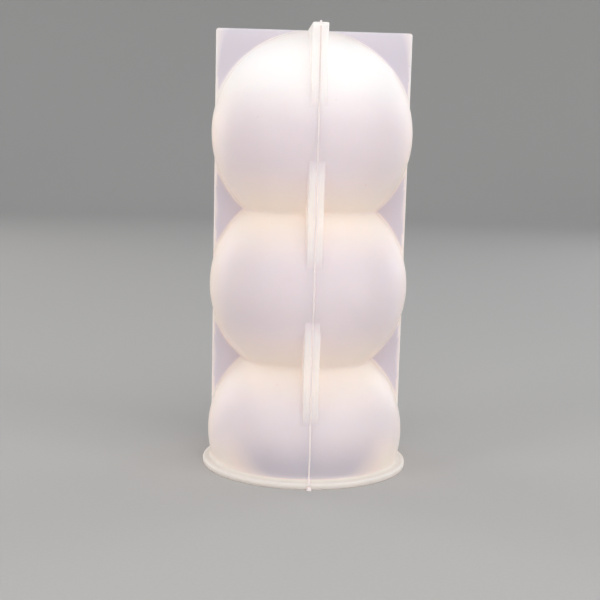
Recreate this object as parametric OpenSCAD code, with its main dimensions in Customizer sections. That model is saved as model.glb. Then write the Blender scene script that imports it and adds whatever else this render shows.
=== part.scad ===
// Flexible mould for a candle of three stacked balls. It rests on the flange round its mouth.
// It is slit down the front and over the top, so that it opens like a book on the uncut
// silicone of the back rib. Sizes are in millimetres.

/* [Balls] */
// Outside diameter of each of the three balls
ball_d = 60; // [45:0.5:90]
// Outside diameter of the crease where two balls meet
neck_d = 39.5; // [30:0.5:42]
// Radius that rounds this crease, outside and in the cavity
crease_r = 0.8; // [0.3:0.1:2]
// Thickness of the silicone round the cavity
wall = 2.5; // [1.5:0.1:4]
// Height of the lowest ball's centre above the mouth face
mouth_rise = 10.7; // [6:0.1:15]

/* [Mouth flange] */
// How far the flange stands out past the side of the balls
flange_lip = 1.5; // [1:0.1:6]
// Thickness of the flange
flange_t = 1.8; // [1.2:0.1:4]
// Radius on the flange's outer edge
flange_edge_r = 0.6; // [0.2:0.1:0.8]

/* [Fins] */
// How far the fins' long edges sit inside the side of the balls
fin_setback = 1; // [0.5:0.1:2.5]
// Radius of the fins' top corners
fin_corner_r = 0.8; // [0.4:0.1:2]
// Thickness of each thin side web
web_t = 2; // [1.2:0.1:4]
// Thickness of the front and back ribs, both halves together
rib_t = 4.4; // [3:0.1:8]

/* [Wick hole] */
// Diameter of the hole for the wick at the top pole
wick_d = 2; // [1.2:0.1:3]
// Diameter left clear of fins round the wick hole
wick_clear_d = 9; // [7:0.5:16]

/* [Moulding flash] */
// Width of the flash line that runs along the slit
flash_w = 0.8; // [0.4:0.1:1.4]
// Height of the flash line above the silicone
flash_h = 0.3; // [0.2:0.05:0.5]
// Width of the flash tab in front of the flange
tab_w = 1.6; // [0.8:0.1:3]
// How far the flash tab stands out in front of the flange
tab_reach = 1.2; // [0.5:0.1:1.5]
// Thickness of the flash tab
tab_t = 0.8; // [0.4:0.1:1.2]
// Height of the flash nib on the front rib's top corner
nib_h = 0.5; // [0.3:0.1:1.2]
// Length of the flash nib, front to back
nib_l = 1; // [0.5:0.1:2]

/* [Hidden] */
$fn = 96;

LEFT = -1;
RIGHT = 1;
FRONT = -1;
BACK = 1;
BOTTOM = 0;
MIDDLE = 1;
TOP = 2;
ball_r = ball_d / 2;
cavity_r = ball_r - wall;
// Two equal balls that cross at the neck's diameter stand this far apart
ball_pitch = 2 * sqrt(pow(ball_r, 2) - pow(neck_d / 2, 2));
ball_z = [for (i = [BOTTOM:TOP]) mouth_rise + i * ball_pitch];
top_z = ball_z[TOP] + ball_r;
flange_r = ball_r + flange_lip;
fin_r = ball_r - fin_setback;
// The fins start inside the lowest ball, at the height of its centre
fin_foot_z = ball_z[BOTTOM];
wall_colour = "gainsboro";
web_colour = "thistle";
rib_colour = "linen";
flange_colour = "antiquewhite";
flash_colour = "white";

// Half of a turned shape, on one side of the slit in the plane x = 0
module half_turned(side) {
    rotate_extrude(angle = 180, start = -90 * side) children();
}

// Half of a plate on the slit plane. Its outline is drawn with x towards the back
module half_plate(side, thickness) {
    translate([side == RIGHT ? 0 : -thickness / 2, 0, 0])
        rotate([90, 0, 90])
            linear_extrude(height = thickness / 2) children();
}

// Outline drawn towards +x, turned towards -x for the front or the left
module facing(way) {
    if (way < 0)
        mirror([1, 0]) children();
    else
        children();
}

// Outline on one side of the axis of three stacked balls, with the creases rounded
module stack_outline(r) {
    crease_x = sqrt(pow(r + crease_r, 2) - pow(ball_pitch / 2, 2));
    intersection() {
        union() {
            for (z = ball_z)
                translate([0, z]) circle(r = r);
            for (i = [BOTTOM:MIDDLE]) {
                crease_z = ball_z[i] + ball_pitch / 2;
                difference() {
                    polygon([[0, ball_z[i]], [crease_x, crease_z], [0, ball_z[i + 1]]]);
                    translate([crease_x, crease_z]) circle(r = crease_r);
                }
            }
        }
        translate([0, ball_z[BOTTOM] - r]) square([r, ball_z[TOP] - ball_z[BOTTOM] + 2 * r]);
    }
}

// The three balls at their outside size, filled in
module ball_forms() {
    rotate_extrude() stack_outline(ball_r);
}

// Straight hole down the axis through the top pole
module pole_hole(d) {
    translate([0, 0, ball_z[TOP]]) cylinder(d = d, h = 2 * ball_r);
}

// Section of the silicone round one ball, between the creases above and below it
module ball_wall_section(index) {
    low = index == BOTTOM ? 0 : ball_z[index] - ball_pitch / 2;
    high = index == TOP ? top_z : ball_z[index] + ball_pitch / 2;
    intersection() {
        difference() {
            stack_outline(ball_r);
            stack_outline(cavity_r);
        }
        translate([0, low]) square([ball_r, high - low]);
    }
}

// Half of the wall round one ball
module ball_wall(index, side) {
    color(wall_colour)
        difference() {
            half_turned(side) ball_wall_section(index);
            if (index == TOP)
                pole_hole(wick_d);
        }
}

// Outline of one fin from the axis outwards, before the balls are cut from it
module fin_outline() {
    corner_z = top_z - fin_corner_r;
    translate([0, fin_foot_z]) square([fin_r - fin_corner_r, top_z - fin_foot_z]);
    translate([0, fin_foot_z]) square([fin_r, corner_z - fin_foot_z]);
    translate([fin_r - fin_corner_r, corner_z]) circle(r = fin_corner_r);
}

// What is left of a fin outside the balls and clear of the wick hole
module outside_balls() {
    difference() {
        children();
        ball_forms();
        pole_hole(wick_clear_d);
    }
}

// Thin web at the side of one half
module side_web(side) {
    color(web_colour)
        outside_balls()
            translate([0, web_t / 2, 0])
                rotate([90, 0, 0])
                    linear_extrude(height = web_t) facing(side) fin_outline();
}

// Half of the front or back rib, before the balls are cut from it
module rib_plate(side, end) {
    half_plate(side, rib_t) facing(end) fin_outline();
}

// Half of the front or back rib
module half_rib(side, end) {
    color(rib_colour) outside_balls() rib_plate(side, end);
}

// Outline of the flange from the axis out to its rounded edge
module flange_outline() {
    edge_z = flange_t - flange_edge_r;
    square([flange_r - flange_edge_r, flange_t]);
    square([flange_r, edge_z]);
    translate([flange_r - flange_edge_r, edge_z]) circle(r = flange_edge_r);
}

// Half of the flange round the mouth
module mouth_flange(side) {
    color(flange_colour)
        half_turned(side)
            difference() {
                flange_outline();
                translate([0, ball_z[BOTTOM]]) circle(r = ball_r);
            }
}

// Side view of the moulding with its flash line, x towards the back
module flash_outline() {
    edge = fin_r + flash_h;
    lip = flange_r + flash_h;
    difference() {
        union() {
            for (z = ball_z)
                translate([0, z]) circle(r = ball_r + flash_h);
            translate([-edge, fin_foot_z])
                square([2 * edge, top_z - fin_corner_r - fin_foot_z]);
            translate([-lip, 0]) square([lip, flange_t - flange_edge_r]);
        }
        translate([-lip, top_z]) square([2 * lip, ball_r]);
        translate([-lip, -ball_r]) square([2 * lip, ball_r]);
        // The flash stops above the flange at the back, where the moulding bends
        translate([0, -ball_r]) square([lip, ball_r + fin_foot_z]);
    }
}

// Half of the fine flash line along the slit, with the flash tab and nib at its ends
module slit_flash(side) {
    color(flash_colour) {
        difference() {
            union() {
                half_plate(side, flash_w) flash_outline();
                half_plate(side, tab_w)
                    translate([-flange_r - tab_reach, 0])
                        square([tab_reach + flange_lip, tab_t]);
            }
            ball_forms();
            rib_plate(side, FRONT);
            rib_plate(side, BACK);
            rotate_extrude() flange_outline();
        }
        half_plate(side, flash_w)
            translate([-fin_r + fin_corner_r, top_z]) square([nib_l, nib_h]);
    }
}

ball_wall(TOP, LEFT);  // left_top_ball_wall
ball_wall(MIDDLE, LEFT);  // left_middle_ball_wall
ball_wall(BOTTOM, LEFT);  // left_bottom_ball_wall
side_web(LEFT);  // left_side_web
half_rib(LEFT, FRONT);  // left_front_rib
half_rib(LEFT, BACK);  // left_back_rib
mouth_flange(LEFT);  // left_mouth_flange
slit_flash(LEFT);  // left_slit_flash
ball_wall(TOP, RIGHT);  // right_top_ball_wall
ball_wall(MIDDLE, RIGHT);  // right_middle_ball_wall
ball_wall(BOTTOM, RIGHT);  // right_bottom_ball_wall
side_web(RIGHT);  // right_side_web
half_rib(RIGHT, FRONT);  // right_front_rib
half_rib(RIGHT, BACK);  // right_back_rib
mouth_flange(RIGHT);  // right_mouth_flange
slit_flash(RIGHT);  // right_slit_flash
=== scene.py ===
"""Looks of a flexible candle mould: two milky silicone halves, the flash along their slit, a studio."""

import math

import bmesh
import bpy
from mathutils import Matrix, Vector


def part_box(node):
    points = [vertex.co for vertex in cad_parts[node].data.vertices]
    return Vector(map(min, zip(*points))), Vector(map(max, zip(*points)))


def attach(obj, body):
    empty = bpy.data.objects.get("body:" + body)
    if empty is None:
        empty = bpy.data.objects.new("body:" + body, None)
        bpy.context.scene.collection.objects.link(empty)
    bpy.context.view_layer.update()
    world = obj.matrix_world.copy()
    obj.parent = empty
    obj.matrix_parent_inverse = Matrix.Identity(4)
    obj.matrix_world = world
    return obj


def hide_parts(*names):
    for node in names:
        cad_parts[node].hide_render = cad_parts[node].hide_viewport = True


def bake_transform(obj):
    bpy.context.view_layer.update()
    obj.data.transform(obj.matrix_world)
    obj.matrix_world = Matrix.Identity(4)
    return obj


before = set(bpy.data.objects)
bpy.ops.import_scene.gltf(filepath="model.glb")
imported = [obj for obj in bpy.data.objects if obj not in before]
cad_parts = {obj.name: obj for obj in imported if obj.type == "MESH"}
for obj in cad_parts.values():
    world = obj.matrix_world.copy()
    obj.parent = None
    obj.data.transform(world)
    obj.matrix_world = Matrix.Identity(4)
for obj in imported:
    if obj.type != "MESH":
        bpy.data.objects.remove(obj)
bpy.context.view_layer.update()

MM = 0.001
LEFT = -1
RIGHT = 1

# Sizes that the frame holds
middle_low, middle_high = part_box("left_middle_ball_wall")
BALL_R = -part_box("left_bottom_ball_wall")[0].x
BALL_PITCH = middle_high.z - middle_low.z
MIDDLE_Z = (middle_low.z + middle_high.z) / 2
BALL_Z = [MIDDLE_Z - BALL_PITCH, MIDDLE_Z, MIDDLE_Z + BALL_PITCH]
web_low, web_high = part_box("left_side_web")
TOP_Z = web_high.z
FIN_R = -web_low.x
WEB_HALF = web_high.y
RIB_HALF = -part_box("left_front_rib")[0].x
flange_low, flange_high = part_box("left_mouth_flange")
FLANGE_R = -flange_low.x
FLANGE_T = flange_high.z
flash_low, flash_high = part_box("left_slit_flash")
TAB_TIP_Y = flash_low.y
TAB_HALF = -flash_low.x
NIB_TOP_Z = flash_high.z

# Sizes of the moulding that the boxes above don't give
WALL = 2.5 * MM
CAVITY_R = BALL_R - WALL
WICK_R = 1.0 * MM
WICK_EDGE_R = 0.2 * MM
CREASE_R = 0.8 * MM
FIN_EDGE_R = 0.35 * MM
FIN_ROOT_R = 0.6 * MM
FIN_CORNER_R = 0.8 * MM
FLANGE_EDGE_R = 0.6 * MM
FLANGE_UNDER_R = 0.3 * MM
FLANGE_FOOT_R = 1.2 * MM
MOUTH_EDGE_R = 0.4 * MM
SLIT_GAP = 0.005 * MM

# The flash: a bead along the slit, which is partly sunk in the silicone
FLASH_HALF = 0.28 * MM
FLASH_H = 0.11 * MM
FLASH_SUNK = 0.06 * MM
BEAD_STEP = 0.5 * MM
BEAD_UNEVENNESS = 0.5
BEAD_WAVE_SCALE = 260.0
FRONT_SEED = 3
BACK_SEED = 8

# The flash: a tab in front of the flange and a nib on the front rib's top corner
TAB_T = 0.8 * MM
TAB_WIDTH_SHARE = 0.8
TAB_ROOT = 0.5 * MM
NIB_L = 1.0 * MM
NIB_HALF = 0.36 * MM
NIB_ROOT = 0.3 * MM

# Where the marks that mark_skin stores begin and end. A mark fades out over its reach or fade, and a
# share is what is left of it on a rim
FIN_FADE = 1.2 * MM
FLANGE_FADE = 0.6 * FLANGE_FOOT_R
# The crease, web and foot reaches spread the warm tint and its painted glow; the seam reach spreads a
# painted glow
CREASE_REACH = 17 * MM
WEB_REACH = 0.65 * BALL_R
FOOT_REACH = 2 * MM
SIDE_FOOT_REACH = 14 * MM
# The top reach and the crown values shape the painted highlight on the top ball
TOP_REACH = 22 * MM
CROWN_HEIGHT = 21 * MM
CROWN_REACH = 9 * MM
CROWN_DIP = 0.6
# Painted shade over the mouth at the front and back, up to this height
MOUTH_SHADE_TOP_Z = 17 * MM
MOUTH_SHADE_REACH = 13 * MM
SEAM_REACH = 1.6 * MM
WEB_RIM_SHARE = 0.35
RIB_RIM_SHARE = 0.75
FLANGE_THICK_AND_GLOW = 1.7

# Limits: points nearer than MERGE_DIST become one, a fin lower than NO_FIN isn't drawn, and no ball
# section is narrower than POLE_R. The last two are the least angles of a sharp edge
MERGE_DIST = 0.002 * MM
NO_FIN = 0.001 * MM
POLE_R = 0.2 * MM
TOP_MARGIN = 0.1 * MM
TOP_ROW_GAP = 0.05 * MM
SKIN_SHARP = math.radians(38)
FLASH_SHARP = math.radians(45)

# How finely the moulding is drawn
ROW_STEP = math.radians(2.0)
EDGE_STEPS = 5
ROUND_STEPS = 4
SIDE_STEPS = 10
ARC_STEPS = 26
CURVE_STEPS = 6
UNDER_STEPS = 5
SHELF_STEPS = 2
LIP_STEPS = 3
TONGUE_STEPS = 12
TONGUE_SIDES = 8

# Tints as linear colours, and how strongly each mark on a skin takes its tint
# The wall is warm where thick is high and cool where it is 0; the cool partly paints the shade of the dark
# cavity seen through the thin wall
WALL_WARM = (0.98, 0.85, 0.775)
WALL_COOL = (0.93, 0.845, 0.885)
# Painted shade: the webs are tinted darker lilac, as the dark background shows through them
WEB_SHADE_TINT = (0.79, 0.755, 0.83)
# Painted shade: dark blue-grey over the mouth, where the cavity is dark inside
MOUTH_SHADE_TINT = (0.60, 0.62, 0.70)
# Painted highlight: the top ball's top is tinted near white, where light falls from above
CROWN_HIGHLIGHT_TINT = (0.975, 0.945, 0.925)
# Painted light: the rib is tinted brighter cream than the wall
RIB_LIGHT_TINT = (0.985, 0.935, 0.90)
FLASH_WARM = (0.80, 0.72, 0.68)
FLASH_COOL = (0.77, 0.71, 0.74)
LINT_TINT = (0.45, 0.42, 0.40)
SWEEP_TINT = (0.43, 0.425, 0.415)
MARK_TINTS = [("mouth_shade", 0.6, MOUTH_SHADE_TINT), ("top_highlight", 1.0, CROWN_HIGHLIGHT_TINT), ("web", 0.85, WEB_SHADE_TINT),
              ("rib", 0.8, RIB_LIGHT_TINT)]
LINT_STRENGTH = 0.3
# Painted glow: how strongly the warm marks and the slit's sides glow
THICK_GLOW = 0.7
SEAM_GLOW = 0.5


# ---------------------------------------------------------------- camera

def make_camera():
    """A long lens, held above the middle of the mould and a little to its left."""
    turn = math.radians(3.09)
    pitch = math.radians(10.15)
    roll = math.radians(1.47)
    aside = -0.0657 * BALL_R
    distance = 11.85 * BALL_R
    height = 2.991 * BALL_R + BALL_Z[0]
    lens_share = 1.946
    data = bpy.data.cameras.new("camera")
    data.sensor_width = 36.0
    data.lens = lens_share * data.sensor_width
    data.shift_y = 0.075
    camera = bpy.data.objects.new("camera", data)
    bpy.context.scene.collection.objects.link(camera)
    forward = Vector((0, math.cos(pitch), -math.sin(pitch)))
    level_side = Vector((1, 0, 0))
    level_up = level_side.cross(forward)
    side = level_side * math.cos(roll) + level_up * math.sin(roll)
    up = level_up * math.cos(roll) - level_side * math.sin(roll)
    axes = Matrix((side, up, -forward)).transposed()
    upright = Matrix.Translation((aside, -distance, height)) @ axes.to_4x4()
    camera.matrix_world = Matrix.Rotation(-turn, 4, "Z") @ upright
    bpy.context.scene.camera = camera


# ---------------------------------------------------------------- section of the moulding

def arc(centre, radius, start, end, steps):
    """(outwards, up) points along an arc, from one angle to another in radians, both ends kept."""
    angles = [start + (end - start) * k / steps for k in range(steps + 1)]
    return [(centre[0] + radius * math.cos(a), centre[1] + radius * math.sin(a)) for a in angles]


def inside_line(start, end, steps):
    """(outwards, up) points along a line from start to end, both ends left out."""
    return [(start[0] + (end[0] - start[0]) * k / steps, start[1] + (end[1] - start[1]) * k / steps)
            for k in range(1, steps)]


def mouth_section():
    """The mouth side from the cavity to under the flange, and the flange side up to the lowest ball.

    The last two values are the angles at which the inner and the outer ball take over.
    """
    low_z = BALL_Z[0]
    mouth = (math.sqrt((CAVITY_R + MOUTH_EDGE_R) ** 2 - (low_z - MOUTH_EDGE_R) ** 2), MOUTH_EDGE_R)
    foot_z = FLANGE_T + FLANGE_FOOT_R
    foot = (math.sqrt((BALL_R + FLANGE_FOOT_R) ** 2 - (low_z - foot_z) ** 2), foot_z)
    under = (FLANGE_R - FLANGE_UNDER_R, FLANGE_UNDER_R)
    edge = (FLANGE_R - FLANGE_EDGE_R, FLANGE_T - FLANGE_EDGE_R)
    down = 1.5 * math.pi
    inner_touch = math.atan2(low_z - mouth[1], mouth[0])
    outer_touch = math.atan2(low_z - foot[1], foot[0])
    inside = arc(mouth, MOUTH_EDGE_R, math.pi - inner_touch, down, ROUND_STEPS)
    rim = arc(under, FLANGE_UNDER_R, down, 2 * math.pi, ROUND_STEPS)
    rim += arc(edge, FLANGE_EDGE_R, 0, math.pi / 2, CURVE_STEPS)
    climb = arc(foot, FLANGE_FOOT_R, down, math.pi - outer_touch, CURVE_STEPS)
    mouth_side = inside + inside_line(inside[-1], rim[0], UNDER_STEPS)
    flange_side = rim + inside_line(rim[-1], climb[0], SHELF_STEPS) + climb
    return mouth_side, flange_side, -inner_touch, -outer_touch


def stack_section(radius, low_angle):
    """Up the side of three balls to near the top pole, with their creases rounded."""
    crease_x = math.sqrt((radius + CREASE_R) ** 2 - (BALL_PITCH / 2) ** 2)
    crease_angle = math.atan2(BALL_PITCH / 2, crease_x)
    fin_ends = [math.acos(math.hypot(FIN_R, half) / BALL_R) for half in (0, WEB_HALF, RIB_HALF)]
    points = []
    for index, centre_z in enumerate(BALL_Z):
        low = low_angle if index == 0 else -crease_angle
        high = math.radians(89) if index == 2 else crease_angle
        steps = round((high - low) / ROW_STEP)
        angles = [low + (high - low) * k / steps for k in range(steps + 1)]
        if radius == BALL_R:
            # The outer side has a row at each height where a fin's edge runs into the ball
            marks = [sign * a for a in fin_ends for sign in (-1, 1) if sign * a > low]
            angles = [a for a in angles if min(abs(a - m) for m in marks) > ROW_STEP / 5]
            angles = sorted(angles + marks)
        points += [(radius * math.cos(a), centre_z + radius * math.sin(a)) for a in angles]
        if index < 2:
            crease = (crease_x, centre_z + BALL_PITCH / 2)
            points += arc(crease, CREASE_R, math.pi + crease_angle, math.pi - crease_angle,
                          CURVE_STEPS)[1:-1]
    return points


# ---------------------------------------------------------------- outline at one height

def fin_outline(rho, half, other_half, fin_r):
    """One fin where the balls have radius rho, from its middle to its root, as (across, outwards)."""
    def ball_at(across):
        """How far out the balls' outline lies at this distance from the fin's middle."""
        return math.sqrt(max(rho * rho - across * across, 0.0))

    reach = fin_r - ball_at(half)
    if reach < NO_FIN:
        half = min(half, 0.4 * rho)
        edge = [(half * k / EDGE_STEPS, ball_at(half * k / EDGE_STEPS)) for k in range(EDGE_STEPS + 1)]
        return edge + [edge[-1]] * (2 * ROUND_STEPS + SIDE_STEPS)
    # A fin too small for its full edge and root radii gets smaller ones
    edge_r = min(FIN_EDGE_R, 0.45 * reach, 0.6 * half)
    root_r = min(FIN_ROOT_R, 0.9 * (reach - edge_r))
    flat = half - edge_r
    points = [(flat * k / EDGE_STEPS, fin_r) for k in range(EDGE_STEPS + 1)]
    points += arc((flat, fin_r - edge_r), edge_r, math.pi / 2, 0, ROUND_STEPS)[1:]
    root_out = math.sqrt(max((rho + root_r) ** 2 - (half + root_r) ** 2, 0.0))
    root_out = max(root_out, other_half + root_r)
    for k in range(1, SIDE_STEPS + 1):
        points.append((half, root_out + (fin_r - edge_r - root_out) * (1 - k / SIDE_STEPS) ** 1.6))
    turn = math.atan2(root_out, half + root_r)
    points += arc((half + root_r, root_out), root_r, math.pi, math.pi + turn, ROUND_STEPS)[1:]
    return [(across, max(out, ball_at(across))) for across, out in points]


def half_outline(rho, fin_r=0.0, inset=0.0):
    """From the slit at the front, round the side, to the slit at the back, as (x, y)."""
    rib_half, web_half = RIB_HALF - inset, WEB_HALF - inset
    rib = fin_outline(rho, rib_half, web_half, fin_r)
    web = [(out, across) for across, out in reversed(fin_outline(rho, web_half, rib_half, fin_r))]
    start, end = math.atan2(rib[-1][1], rib[-1][0]), math.atan2(web[0][1], web[0][0])
    between = arc((0, 0), math.hypot(*rib[-1]), start, end, ARC_STEPS)[1:-1]
    quarter = rib + between + web
    return [(x, -y) for x, y in quarter] + [(x, y) for x, y in reversed(quarter[:-1])]


def corner_drop(z):
    """How far the fins' long edges step in at height z, round their top corners."""
    above = max(z - (TOP_Z - FIN_CORNER_R), 0.0)
    return FIN_CORNER_R - math.sqrt(max(FIN_CORNER_R ** 2 - above ** 2, 0.0))


def top_rows():
    """Rows over the rounded edges of the fins' tops and across them to the wick hole."""
    rows = []
    for k in range(ROUND_STEPS + 1):
        turn = math.pi / 2 * k / ROUND_STEPS
        z = TOP_Z - FIN_EDGE_R * (1 - math.sin(turn))
        rho = math.sqrt(max(BALL_R ** 2 - (z - BALL_Z[2]) ** 2, 0.0))
        inset = FIN_EDGE_R * (1 - math.cos(turn))
        outline = half_outline(max(rho, POLE_R), FIN_R - corner_drop(z), inset)
        rows.append([(x, y, z) for x, y in outline])
    inset = FIN_EDGE_R + TOP_MARGIN
    outline = half_outline(POLE_R, FIN_R - FIN_CORNER_R - TOP_MARGIN, inset)
    rows.append([(x, y, TOP_Z) for x, y in outline])
    hole = [Vector((x, y, 0)).normalized() for x, y in outline]
    lip_r = WICK_R + WICK_EDGE_R
    for share in (0.4, 0.8, 1.0):
        rows.append([(x + (h.x * lip_r - x) * share, y + (h.y * lip_r - y) * share, TOP_Z)
                     for (x, y), h in zip(outline, hole)])
    lip = arc((lip_r, TOP_Z - WICK_EDGE_R), WICK_EDGE_R, math.pi / 2, math.pi, LIP_STEPS)[1:]
    foot_z = BALL_Z[2] + math.sqrt(CAVITY_R ** 2 - WICK_R ** 2)
    for r, z in lip + inside_line(lip[-1], (WICK_R, foot_z), LIP_STEPS) + [(WICK_R, foot_z)]:
        rows.append([(h.x * r, h.y * r, z) for h in hole])
    return rows


def skin_rows():
    """All rows of one half in order round its section, and the numbers of the outer side's rows."""
    mouth, flange, inner_touch, outer_touch = mouth_section()
    top_start = TOP_Z - FIN_EDGE_R - TOP_ROW_GAP
    outer = [(rho, z) for rho, z in stack_section(BALL_R, outer_touch)[1:] if z < top_start]
    inner = [(rho, z) for rho, z in stack_section(CAVITY_R, inner_touch)[1:] if rho > 1.5 * WICK_R]
    rows = [[(x, y, z) for x, y in half_outline(rho)] for rho, z in mouth + flange]
    for rho, z in outer:
        fin_r = FIN_R - corner_drop(z) if z > BALL_Z[0] else 0.0
        rows.append([(x, y, z) for x, y in half_outline(rho, fin_r)])
    rows += top_rows()
    rows += [[(x, y, z) for x, y in half_outline(rho)] for rho, z in reversed(inner)]
    first = len(mouth)
    return rows, range(first, first + len(flange) + len(outer))


# ---------------------------------------------------------------- the two skins

def new_piece(name, mesh, material):
    """Makes an object at the origin from a bmesh and frees the bmesh."""
    data = bpy.data.meshes.new(name)
    mesh.to_mesh(data)
    mesh.free()
    data.materials.append(material)
    piece = bpy.data.objects.new(name, data)
    bpy.context.scene.collection.objects.link(piece)
    return piece


def smooth(value):
    """Eases a value from 0 to 1, held at its ends."""
    share = min(max(value, 0.0), 1.0)
    return share * share * (3 - 2 * share)


def mark_skin(data):
    """Stores, at each point of a skin, the values that its material reads.

    web and rib are 1 out on those fins, and less on their rims; web paints shade on the webs and rib
    paints light on the ribs. thick is 1 where a wall meets a crease, a web or the flange, 0 between them,
    and above 1 on the flange; it warms the tint, partly for the greater depth of silicone, and drives a
    painted glow. pale rises to 1 near the top and falls a little at the very top, a painted highlight.
    hollow is 1 over the mouth at the front and back, a painted shade. seam is 1 beside the slit, where a
    painted glow makes up for the light lost between the halves.
    """
    names = ("web", "rib", "thick_and_glow", "top_highlight", "mouth_shade", "seam")
    for name in names:
        data.attributes.new(name, "FLOAT", "POINT")
    # A new attribute can move the earlier ones, so they are fetched when all of them are there
    web, rib, thick_and_glow, top_highlight, mouth_shade, seam = (data.attributes[name].data for name in names)
    creases = [z + BALL_PITCH / 2 for z in BALL_Z[:2]]
    for index, vertex in enumerate(data.vertices):
        x, y, z = vertex.co
        side_on = smooth(2.5 * abs(x) / BALL_R - 0.9)
        end_on = smooth(2.6 * abs(y) / BALL_R - 1.4)
        on_flange = z < FLANGE_T + FLANGE_FADE
        ball = max(math.sqrt(max(BALL_R ** 2 - (z - centre) ** 2, 0.0)) for centre in BALL_Z)
        out = min(max((math.hypot(x, y) - ball) / FIN_FADE, 0.0), 1.0)
        # Out on the fins the webs get painted shade and the ribs painted light; their rims keep only a
        # share of it
        if z > FLANGE_T + FLANGE_FOOT_R:
            at_rim = max(abs(x), abs(y)) > FIN_R - FIN_CORNER_R
            fin, rim_share = (web, WEB_RIM_SHARE) if abs(y) < abs(x) else (rib, RIB_RIM_SHARE)
            fin[index].value = out * (rim_share if at_rim else 1.0)
        # Painted glow beside the slit, which makes up for the light lost between the halves
        seam[index].value = smooth(1 - abs(x) / SEAM_REACH)
        # The flange takes more than the full warm tint and painted glow
        if on_flange:
            thick_and_glow[index].value = FLANGE_THICK_AND_GLOW
            continue
        # Near creases, webs and the foot the tint warms, partly for the greater depth of silicone and
        # partly as painted glow
        foot = FOOT_REACH + SIDE_FOOT_REACH * side_on
        to_crease = min(abs(z - crease) for crease in creases)
        if web[index].value <= 0.5:
            near = (1 - to_crease / CREASE_REACH, 1 - abs(y) / WEB_REACH, 1 - (z - FLANGE_T) / foot)
            thick_and_glow[index].value = max(smooth(value) for value in near)
        # Painted highlight: the top ball is lit up towards its top, a little less at the very top, and not
        # on the webs
        above = z - BALL_Z[2]
        dip = 1 - CROWN_DIP * smooth((above - CROWN_HEIGHT) / CROWN_REACH)
        top_highlight[index].value = smooth(above / TOP_REACH) * dip * (1 - web[index].value)
        # Painted shade over the mouth, where the dark cavity shows through the wall
        mouth_shade[index].value = smooth((MOUTH_SHADE_TOP_Z - z) / MOUTH_SHADE_REACH) * end_on


def build_skin(name, side, rows, material):
    """Closed silicone skin of one half: its outside, top, cavity, mouth and two slit faces."""
    mesh = bmesh.new()
    grid = [[mesh.verts.new((side * max(x, SLIT_GAP), y, z)) for x, y, z in row] for row in rows]
    for low, high in zip(grid, grid[1:] + grid[:1]):
        for a, b, c, d in zip(low, low[1:], high[1:], high):
            mesh.faces.new((a, b, c, d))
    bmesh.ops.remove_doubles(mesh, verts=mesh.verts, dist=MERGE_DIST)
    for end in (-1, 1):
        rim = [e for e in mesh.edges if e.is_boundary and all(v.co.y * end > 0 for v in e.verts)]
        bmesh.ops.triangle_fill(mesh, edges=rim, use_beauty=True, use_dissolve=False)
    bmesh.ops.recalc_face_normals(mesh, faces=mesh.faces)
    piece = new_piece(name, mesh, material)
    piece.data.shade_smooth()
    piece.data.set_sharp_from_angle(angle=SKIN_SHARP)
    mark_skin(piece.data)
    return piece


# ---------------------------------------------------------------- flash

def link(tree, *pairs):
    """Links each pair's output socket to its input socket."""
    for source, target in pairs:
        tree.links.new(source, target)


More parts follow.
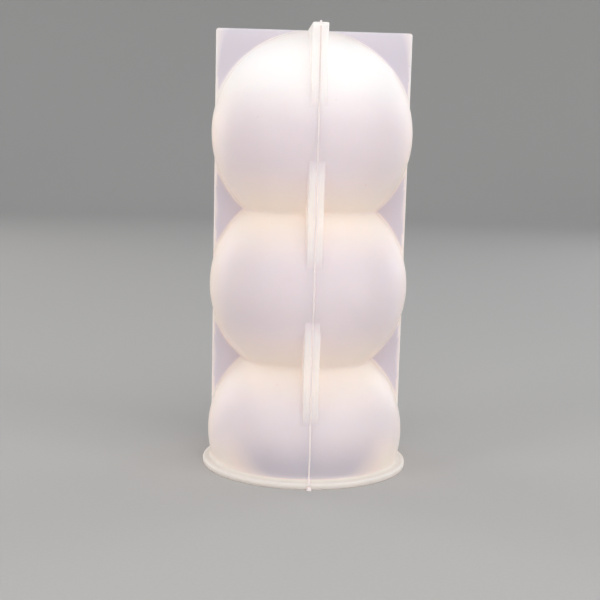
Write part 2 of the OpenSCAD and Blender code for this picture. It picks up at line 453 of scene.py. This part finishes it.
def flash_tree():
    """Geometry Nodes that sweep a quarter-round bead of uneven size up a curve in the slit's plane.

    Width runs along +X and Height along +Y, so a negative value turns the bead to the other side.
    """
    tree = bpy.data.node_groups.new("flash_bead", "GeometryNodeTree")
    sockets = tree.interface
    sockets.new_socket("Geometry", in_out="INPUT", socket_type="NodeSocketGeometry")
    for name in ("Width", "Height", "Sunk", "Step", "Unevenness", "Wave Scale"):
        sockets.new_socket(name, in_out="INPUT", socket_type="NodeSocketFloat")
    sockets.new_socket("Seed", in_out="INPUT", socket_type="NodeSocketInt")
    sockets.new_socket("Material", in_out="INPUT", socket_type="NodeSocketMaterial")
    sockets.new_socket("Geometry", in_out="OUTPUT", socket_type="NodeSocketGeometry")
    node = tree.nodes.new
    given = node("NodeGroupInput").outputs
    spaced = node("GeometryNodeResampleCurve")
    spaced.mode = "LENGTH"
    turned = node("GeometryNodeSetCurveNormal")
    turned.mode = "FREE"
    turned.inputs["Normal"].default_value = (1.0, 0.0, 0.0)
    link(tree, (given["Geometry"], spaced.inputs["Curve"]), (given["Step"], spaced.inputs["Length"]),
         (spaced.outputs["Curve"], turned.inputs["Curve"]))

    wave = node("ShaderNodeTexNoise")
    wave.noise_dimensions = "4D"
    wave.inputs["Detail"].default_value = 3
    uneven = node("ShaderNodeMath")
    uneven.operation = "MULTIPLY_ADD"
    middle = node("ShaderNodeMath")
    middle.operation = "SUBTRACT"
    middle.inputs[1].default_value = 0.5
    uneven.inputs[2].default_value = 1.0
    link(tree, (given["Wave Scale"], wave.inputs["Scale"]), (given["Seed"], wave.inputs["W"]),
         (wave.outputs["Fac"], middle.inputs[0]), (middle.outputs[0], uneven.inputs[0]),
         (given["Unevenness"], uneven.inputs[1]))

    quarter = node("GeometryNodeCurveArc")
    quarter.inputs["Resolution"].default_value = 6
    quarter.inputs["Radius"].default_value = 1.0
    quarter.inputs["Sweep Angle"].default_value = math.pi / 2
    quarter.inputs["Connect Center"].default_value = True
    deep = node("ShaderNodeMath")
    deep.operation = "ADD"
    size = node("ShaderNodeCombineXYZ")
    drop = node("ShaderNodeCombineXYZ")
    negative = node("ShaderNodeMath")
    negative.operation = "MULTIPLY"
    negative.inputs[1].default_value = -1.0
    profile = node("GeometryNodeTransform")
    link(tree, (given["Height"], deep.inputs[0]), (given["Sunk"], deep.inputs[1]),
         (given["Width"], size.inputs["X"]), (deep.outputs[0], size.inputs["Y"]),
         (given["Sunk"], negative.inputs[0]), (negative.outputs[0], drop.inputs["Y"]),
         (quarter.outputs["Curve"], profile.inputs["Geometry"]),
         (size.outputs[0], profile.inputs["Scale"]), (drop.outputs[0], profile.inputs["Translation"]))
    size.inputs["Z"].default_value = 1.0

    swept = node("GeometryNodeCurveToMesh")
    swept.inputs["Fill Caps"].default_value = True
    shaded = node("GeometryNodeSetShadeSmooth")
    real = node("GeometryNodeRealizeInstances")
    coloured = node("GeometryNodeSetMaterial")
    made = node("NodeGroupOutput").inputs
    link(tree, (turned.outputs["Curve"], swept.inputs["Curve"]),
         (profile.outputs["Geometry"], swept.inputs["Profile Curve"]),
         (uneven.outputs[0], swept.inputs["Scale"]), (swept.outputs["Mesh"], shaded.inputs["Geometry"]),
         (shaded.outputs["Geometry"], real.inputs["Geometry"]),
         (real.outputs["Geometry"], coloured.inputs["Geometry"]),
         (given["Material"], coloured.inputs["Material"]),
         (coloured.outputs["Geometry"], made["Geometry"]))
    return tree


def sweep_bead(tree, path, values):
    """Runs the flash tree along a path of points and returns the mesh that it makes."""
    data = bpy.data.curves.new("flash_path", "CURVE")
    data.dimensions = "3D"
    spline = data.splines.new("POLY")
    spline.points.add(len(path) - 1)
    for point, place in zip(spline.points, path):
        point.co = (*place, 1)
    carrier = bpy.data.objects.new("flash_path", data)
    bpy.context.scene.collection.objects.link(carrier)
    modifier = carrier.modifiers.new("bead", "NODES")
    modifier.node_group = tree
    for item in tree.interface.items_tree:
        if item.item_type == "SOCKET" and item.in_out == "INPUT" and item.name in values:
            modifier[item.identifier] = values[item.name]
    graph = bpy.context.evaluated_depsgraph_get()
    made = bpy.data.meshes.new_from_object(carrier.evaluated_get(graph))
    carrier.modifiers.clear()
    bpy.data.objects.remove(carrier)
    return made


def add_tongue(mesh, root, tip, across, up, half_width, thickness, wobble):
    """Adds half of a small ragged tongue of flash, rounded on top and thinning to its tip."""
    sections = []
    blunt, squareness = 0.02, 0.6
    for k in range(TONGUE_STEPS + 1):
        s = k / TONGUE_STEPS
        ragged = 1 + wobble * math.sin(9.0 * s + 1.0) * math.sin(17.0 * s)
        width = half_width * math.sqrt(max(1 - s ** 3, blunt)) * ragged
        high = thickness * math.sqrt(max(1 - s ** 4, blunt)) * (1 - 0.25 * s)
        centre = root + (tip - root) * s
        points = [centre]
        for j in range(TONGUE_SIDES + 1):
            turn = math.pi / 2 * j / TONGUE_SIDES
            aside = across * width * math.cos(turn) ** squareness
            points.append(centre + aside + up * high * math.sin(turn) ** squareness)
        sections.append([mesh.verts.new(point) for point in points])
    for a, b in zip(sections, sections[1:]):
        for k in range(len(a)):
            n = (k + 1) % len(a)
            mesh.faces.new((a[k], a[n], b[n], b[k]))
    mesh.faces.new(sections[0])
    mesh.faces.new(sections[-1])


def build_flash(name, side, rows, outer, tree, material):
    """The flash line of one half, up its front and up its back, with its half of the tab and nib."""
    gap = side * SLIT_GAP
    last_z = TOP_Z - FIN_CORNER_R
    low_z = FLANGE_UNDER_R
    front = [(gap, rows[k][0][1], rows[k][0][2]) for k in outer if low_z < rows[k][0][2] < last_z]
    back = [(gap, rows[k][-1][1], rows[k][-1][2]) for k in outer if BALL_Z[0] < rows[k][-1][2] < last_z]
    mesh = bmesh.new()
    for seed, path, outward in ((FRONT_SEED, front, -1), (BACK_SEED, back, 1)):
        values = {"Width": side * FLASH_HALF, "Height": outward * FLASH_H, "Sunk": outward * FLASH_SUNK,
                  "Step": BEAD_STEP, "Unevenness": BEAD_UNEVENNESS, "Wave Scale": BEAD_WAVE_SCALE,
                  "Seed": seed, "Material": material}
        mesh.from_mesh(sweep_bead(tree, path, values))
    across = Vector((side, 0, 0))
    tab_root = Vector((gap, -FLANGE_R + TAB_ROOT, 0))
    tab_tip = Vector((gap, TAB_TIP_Y, 0))
    add_tongue(mesh, tab_root, tab_tip, across, Vector((0, 0, 1)), TAB_WIDTH_SHARE * TAB_HALF,
               TAB_T, 0.25)
    nib_root = Vector((gap, -FIN_R + FIN_CORNER_R, TOP_Z - NIB_ROOT))
    nib_tip = Vector((gap, -FIN_R + FIN_CORNER_R, NIB_TOP_Z))
    add_tongue(mesh, nib_root, nib_tip, across, Vector((0, 1, 0)), NIB_HALF, NIB_L, 0.2)
    bmesh.ops.recalc_face_normals(mesh, faces=mesh.faces)
    piece = new_piece(name, mesh, material)
    piece.data.shade_smooth()
    piece.data.set_sharp_from_angle(angle=FLASH_SHARP)
    return piece


# ---------------------------------------------------------------- materials

def new_material(name):
    """A material that holds one Principled shader: the material, its node tree and the shader."""
    material = bpy.data.materials.new(name)
    material.use_nodes = True
    tree = material.node_tree
    tree.nodes.clear()
    output = tree.nodes.new("ShaderNodeOutputMaterial")
    shader = tree.nodes.new("ShaderNodeBsdfPrincipled")
    tree.links.new(shader.outputs[0], output.inputs["Surface"])
    return material, tree, shader


def new_group(name, inputs, outputs):
    """A shader node group with named inputs, (type, value) each, and named outputs."""
    group = bpy.data.node_groups.new(name, "ShaderNodeTree")
    for socket, (kind, value) in inputs.items():
        made = group.interface.new_socket(socket, in_out="INPUT", socket_type=kind)
        if value is not None:
            made.default_value = value
    for socket, kind in outputs.items():
        group.interface.new_socket(socket, in_out="OUTPUT", socket_type=kind)
    return group, group.nodes.new("NodeGroupInput").outputs, group.nodes.new("NodeGroupOutput").inputs


def noise(tree, vector, scale, detail=2.0, roughness=0.5):
    """A noise texture. Its scale is a number or a socket."""
    node = tree.nodes.new("ShaderNodeTexNoise")
    node.inputs["Detail"].default_value = detail
    node.inputs["Roughness"].default_value = roughness
    tree.links.new(vector, node.inputs["Vector"])
    if isinstance(scale, float):
        node.inputs["Scale"].default_value = scale
    else:
        tree.links.new(scale, node.inputs["Scale"])
    return node.outputs["Fac"]


def spread(tree, value, low, high, out_low=0.0, out_high=1.0):
    """Maps a value from one range to another, held at its ends."""
    node = tree.nodes.new("ShaderNodeMapRange")
    tree.links.new(value, node.inputs["Value"])
    for name, number in (("From Min", low), ("From Max", high), ("To Min", out_low), ("To Max", out_high)):
        if isinstance(number, (int, float)):
            node.inputs[name].default_value = number
        else:
            tree.links.new(number, node.inputs[name])
    return node.outputs["Result"]


def mix(tree, factor, first, second):
    """Mixes two colours, each a colour or a socket."""
    node = tree.nodes.new("ShaderNodeMix")
    node.data_type = "RGBA"
    tree.links.new(factor, node.inputs["Factor"])
    for socket, colour in ((node.inputs[6], first), (node.inputs[7], second)):
        if isinstance(colour, tuple):
            socket.default_value = (*colour, 1)
        else:
            tree.links.new(colour, socket)
    return node.outputs[2]


def arithmetic(tree, operation, first, second):
    """A Math node's result. Each value is a number or a socket."""
    node = tree.nodes.new("ShaderNodeMath")
    node.operation = operation
    for socket, value in zip(node.inputs, (first, second)):
        if isinstance(value, (int, float)):
            socket.default_value = value
        else:
            tree.links.new(value, socket)
    return node.outputs[0]


def milky_tint_group():
    """Milky colour that warms as the silicone gets thicker, with clouds a few centimetres wide."""
    group, given, made = new_group("milky_tint", {
        "Vector": ("NodeSocketVector", None), "Thickness": ("NodeSocketFloat", 0.5),
        "Warm": ("NodeSocketColor", None), "Cool": ("NodeSocketColor", None),
        "Cloud Scale": ("NodeSocketFloat", 30.0)}, {"Color": "NodeSocketColor"})
    cloud_noise = noise(group, given["Vector"], given["Cloud Scale"], 2.0, 0.45)
    clouds = spread(group, cloud_noise, 0.3, 0.7, -0.15, 0.15)
    drift = arithmetic(group, "ADD", given["Thickness"], clouds)
    group.links.new(mix(group, drift, given["Cool"], given["Warm"]), made["Color"])
    return group


def mould_surface_group():
    """Faint turning rings copied from the metal mould, a fine grain, and smudges from handling."""
    group, given, made = new_group("mould_surface", {
        "Vector": ("NodeSocketVector", None), "Ring Spacing": ("NodeSocketFloat", 0.0007),
        "Grain Scale": ("NodeSocketFloat", 1400.0), "Smudge Scale": ("NodeSocketFloat", 90.0)},
        {"Height": "NodeSocketFloat", "Roughness": "NodeSocketFloat", "Lint": "NodeSocketFloat"})
    split = group.nodes.new("ShaderNodeSeparateXYZ")
    group.links.new(given["Vector"], split.inputs[0])
    phase = arithmetic(group, "DIVIDE", split.outputs["Z"], given["Ring Spacing"])
    rings = arithmetic(group, "SINE", arithmetic(group, "MULTIPLY", phase, 2 * math.pi), 0.0)
    fade = spread(group, noise(group, given["Vector"], 45.0, 1.0), 0.4, 0.7, 0.0, 0.18)
    grain = noise(group, given["Vector"], given["Grain Scale"], 3.0, 0.6)
    height = arithmetic(group, "ADD", arithmetic(group, "MULTIPLY", rings, fade), grain)
    smudge = noise(group, given["Vector"], given["Smudge Scale"], 4.0, 0.62)
    specks = group.nodes.new("ShaderNodeTexVoronoi")
    specks.inputs["Scale"].default_value = 420.0
    group.links.new(given["Vector"], specks.inputs["Vector"])
    small = spread(group, specks.outputs["Distance"], 0.05, 0.12, 1.0, 0.0)
    shade = group.nodes.new("ShaderNodeSeparateColor")
    group.links.new(specks.outputs["Color"], shade.inputs[0])
    rare = spread(group, shade.outputs[0], 0.93, 0.96)
    group.links.new(height, made["Height"])
    group.links.new(spread(group, smudge, 0.35, 0.68, 0.42, 0.6), made["Roughness"])
    group.links.new(arithmetic(group, "MULTIPLY", small, rare), made["Lint"])
    return group


def place_group(tree, group, vector, **values):
    """Places a node group with its own values, and returns its inputs and outputs."""
    node = tree.nodes.new("ShaderNodeGroup")
    node.node_tree = group
    tree.links.new(vector, node.inputs["Vector"])
    for name, value in values.items():
        node.inputs[name.replace("_", " ")].default_value = value
    return node.inputs, node.outputs


def attribute(tree, name):
    """A value that mark_skin stored on the mesh."""
    node = tree.nodes.new("ShaderNodeAttribute")
    node.attribute_name = name
    return node.outputs["Fac"]


def silicone_material(name, tint_group, surface_group, warm, cool, depth, see_through, glow_strength,
                      marked):
    """Milky silicone: light soaks in by depth metres, and a share of it passes right through.

    A weak painted glow stands for light led through the silicone. A marked material reads mark_skin's
    values, partly painted light and shade.
    """
    material, tree, shader = new_material(name)
    vector = tree.nodes.new("ShaderNodeTexCoord").outputs["Object"]
    tint_inputs, tint = place_group(tree, tint_group, vector, Warm=(*warm, 1), Cool=(*cool, 1),
                                    Cloud_Scale=28.0)
    surface = place_group(tree, surface_group, vector)[1]
    colour = glow = tint["Color"]
    if marked:
        tree.links.new(attribute(tree, "thick_and_glow"), tint_inputs["Thickness"])
        # The mouth and web tints paint shade, the crown and rib tints paint light
        for mark, strength, mark_tint in MARK_TINTS:
            share = arithmetic(tree, "MULTIPLY", attribute(tree, mark), strength)
            colour = mix(tree, share, colour, mark_tint)
    lint = arithmetic(tree, "MULTIPLY", surface["Lint"], LINT_STRENGTH)
    colour = mix(tree, lint, colour, LINT_TINT)
    bump = tree.nodes.new("ShaderNodeBump")
    bump.inputs["Strength"].default_value = 0.25
    bump.inputs["Distance"].default_value = 0.04 * MM
    link(tree, (colour, shader.inputs["Base Color"]), (surface["Roughness"], shader.inputs["Roughness"]),
         (surface["Height"], bump.inputs["Height"]), (bump.outputs["Normal"], shader.inputs["Normal"]))
    shader.inputs["IOR"].default_value = 1.41
    shader.inputs["Specular IOR Level"].default_value = 0.3
    shader.inputs["Subsurface Weight"].default_value = 1.0
    shader.inputs["Subsurface Radius"].default_value = (1.0, 0.92, 0.86)
    shader.inputs["Subsurface Scale"].default_value = depth
    shader.inputs["Transmission Weight"].default_value = see_through
    if marked:
        # Painted glow: emission over the warm marks, the rib, the top highlight and beside the slit
        thick_and_glow = arithmetic(tree, "MAXIMUM", attribute(tree, "thick_and_glow"), attribute(tree, "rib"))
        lit = arithmetic(tree, "MULTIPLY", thick_and_glow, THICK_GLOW)
        lit = arithmetic(tree, "MAXIMUM", lit, attribute(tree, "top_highlight"))
        seam_glow = arithmetic(tree, "MULTIPLY", attribute(tree, "seam"), SEAM_GLOW)
        lit = arithmetic(tree, "ADD", lit, seam_glow)
        glow = mix(tree, lit, (0.0, 0.0, 0.0), colour)
    link(tree, (glow, shader.inputs["Emission Color"]))
    shader.inputs["Emission Strength"].default_value = glow_strength
    return material


def paper_material(name, colour):
    """Matt paper with a faint fibre."""
    material, tree, shader = new_material(name)
    vector = tree.nodes.new("ShaderNodeTexCoord").outputs["Object"]
    fibre = spread(tree, noise(tree, vector, 900.0, 4.0, 0.6), 0.3, 0.7)
    darker = tuple(0.97 * value for value in colour)
    link(tree, (mix(tree, fibre, darker, colour), shader.inputs["Base Color"]))
    shader.inputs["Roughness"].default_value = 0.95
    shader.inputs["Specular IOR Level"].default_value = 0.2
    return material


# ---------------------------------------------------------------- studio

def make_sweep():
    """Floor that curves up into a low round wall, well away from the mould."""
    inner_r, wall_r, curve_r, wall_top = 0.3, 1.7, 0.6, 1.3
    curve_steps, count = 16, 64
    profile = [(0.0, 0.0), (inner_r, 0.0)]
    profile += arc((wall_r - curve_r, curve_r), curve_r, 1.5 * math.pi, 2 * math.pi, curve_steps)
    profile.append((wall_r, wall_top))
    turns = [2 * math.pi * k / count for k in range(count)]
    mesh = bmesh.new()
    rings = [[mesh.verts.new((r * math.cos(a), r * math.sin(a), z)) for a in turns] for r, z in profile]
    for low, high in zip(rings, rings[1:]):
        for k in range(count):
            n = (k + 1) % count
            mesh.faces.new((low[k], low[n], high[n], high[k]))
    bmesh.ops.remove_doubles(mesh, verts=mesh.verts, dist=0.01 * MM)
    bmesh.ops.recalc_face_normals(mesh, faces=mesh.faces)
    bmesh.ops.reverse_faces(mesh, faces=mesh.faces)
    sweep = new_piece("studio_sweep", mesh, paper_material("sweep_paper", SWEEP_TINT))
    sweep.data.shade_smooth()


def add_light(name, place, size, watts, colour):
    """A soft disk light, size metres across, that faces the middle of the mould."""
    data = bpy.data.lights.new(name, "AREA")
    data.shape = "DISK"
    data.size = size
    data.energy = watts
    data.color = colour
    light = bpy.data.objects.new(name, data)
    light.location = place
    light.visible_camera = False
    aim = Vector((0, 0, TOP_Z / 2)) - Vector(place)
    light.rotation_euler = aim.to_track_quat("-Z", "Y").to_euler()
    bpy.context.scene.collection.objects.link(light)


def make_studio():
    """The sweep, a whitish world and five soft lights."""
    scene = bpy.context.scene
    scene.view_settings.view_transform = "Standard"
    make_sweep()
    world = bpy.data.worlds.new("studio")
    scene.world = world
    world.use_nodes = True
    background = world.node_tree.nodes["Background"]
    background.inputs["Color"].default_value = (0.93, 0.96, 1.0, 1)
    background.inputs["Strength"].default_value = 0.8
    add_light("key", (0.10, -0.70, 0.70), 0.9, 4.1, (1.0, 0.985, 0.97))
    add_light("front_left", (-0.82, -0.60, 0.22), 0.42, 3.7, (1.0, 0.95, 0.91))
    add_light("front_right", (0.82, -0.60, 0.22), 0.42, 3.8, (1.0, 0.97, 0.96))
    add_light("back_left", (-0.8, 0.6, 0.25), 0.45, 2.6, (1.0, 0.93, 0.88))
    add_light("back_right", (0.8, 0.6, 0.25), 0.45, 2.2, (0.96, 0.96, 1.0))


# ---------------------------------------------------------------- build

# The regions of one half that its skin stands for
REGIONS = ["top_ball_wall", "middle_ball_wall", "bottom_ball_wall", "side_web", "front_rib",
           "back_rib", "mouth_flange"]

make_camera()
make_studio()
tint_group = milky_tint_group()
surface_group = mould_surface_group()
milky_silicone = silicone_material("milky_silicone", tint_group, surface_group, WALL_WARM, WALL_COOL,
                                   depth=3.5 * MM, see_through=0.42, glow_strength=0.13, marked=True)
# The flash has a weak painted glow, even all over
flash_silicone = silicone_material("flash_silicone", tint_group, surface_group, FLASH_WARM, FLASH_COOL,
                                   depth=0.15 * MM, see_through=0.0, glow_strength=0.04, marked=False)
rows, outer = skin_rows()
bead_tree = flash_tree()
for side_name, side in (("left", LEFT), ("right", RIGHT)):
    skin = build_skin(f"{side_name}_half_skin", side, rows, milky_silicone)
    flash = build_flash(f"{side_name}_flash_line", side, rows, outer, bead_tree, flash_silicone)
    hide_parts(*[f"{side_name}_{region}" for region in REGIONS])
    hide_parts(f"{side_name}_slit_flash")
    for piece in (skin, flash):
        if side == LEFT:
            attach(piece, "left_half")
        else:
            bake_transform(piece)
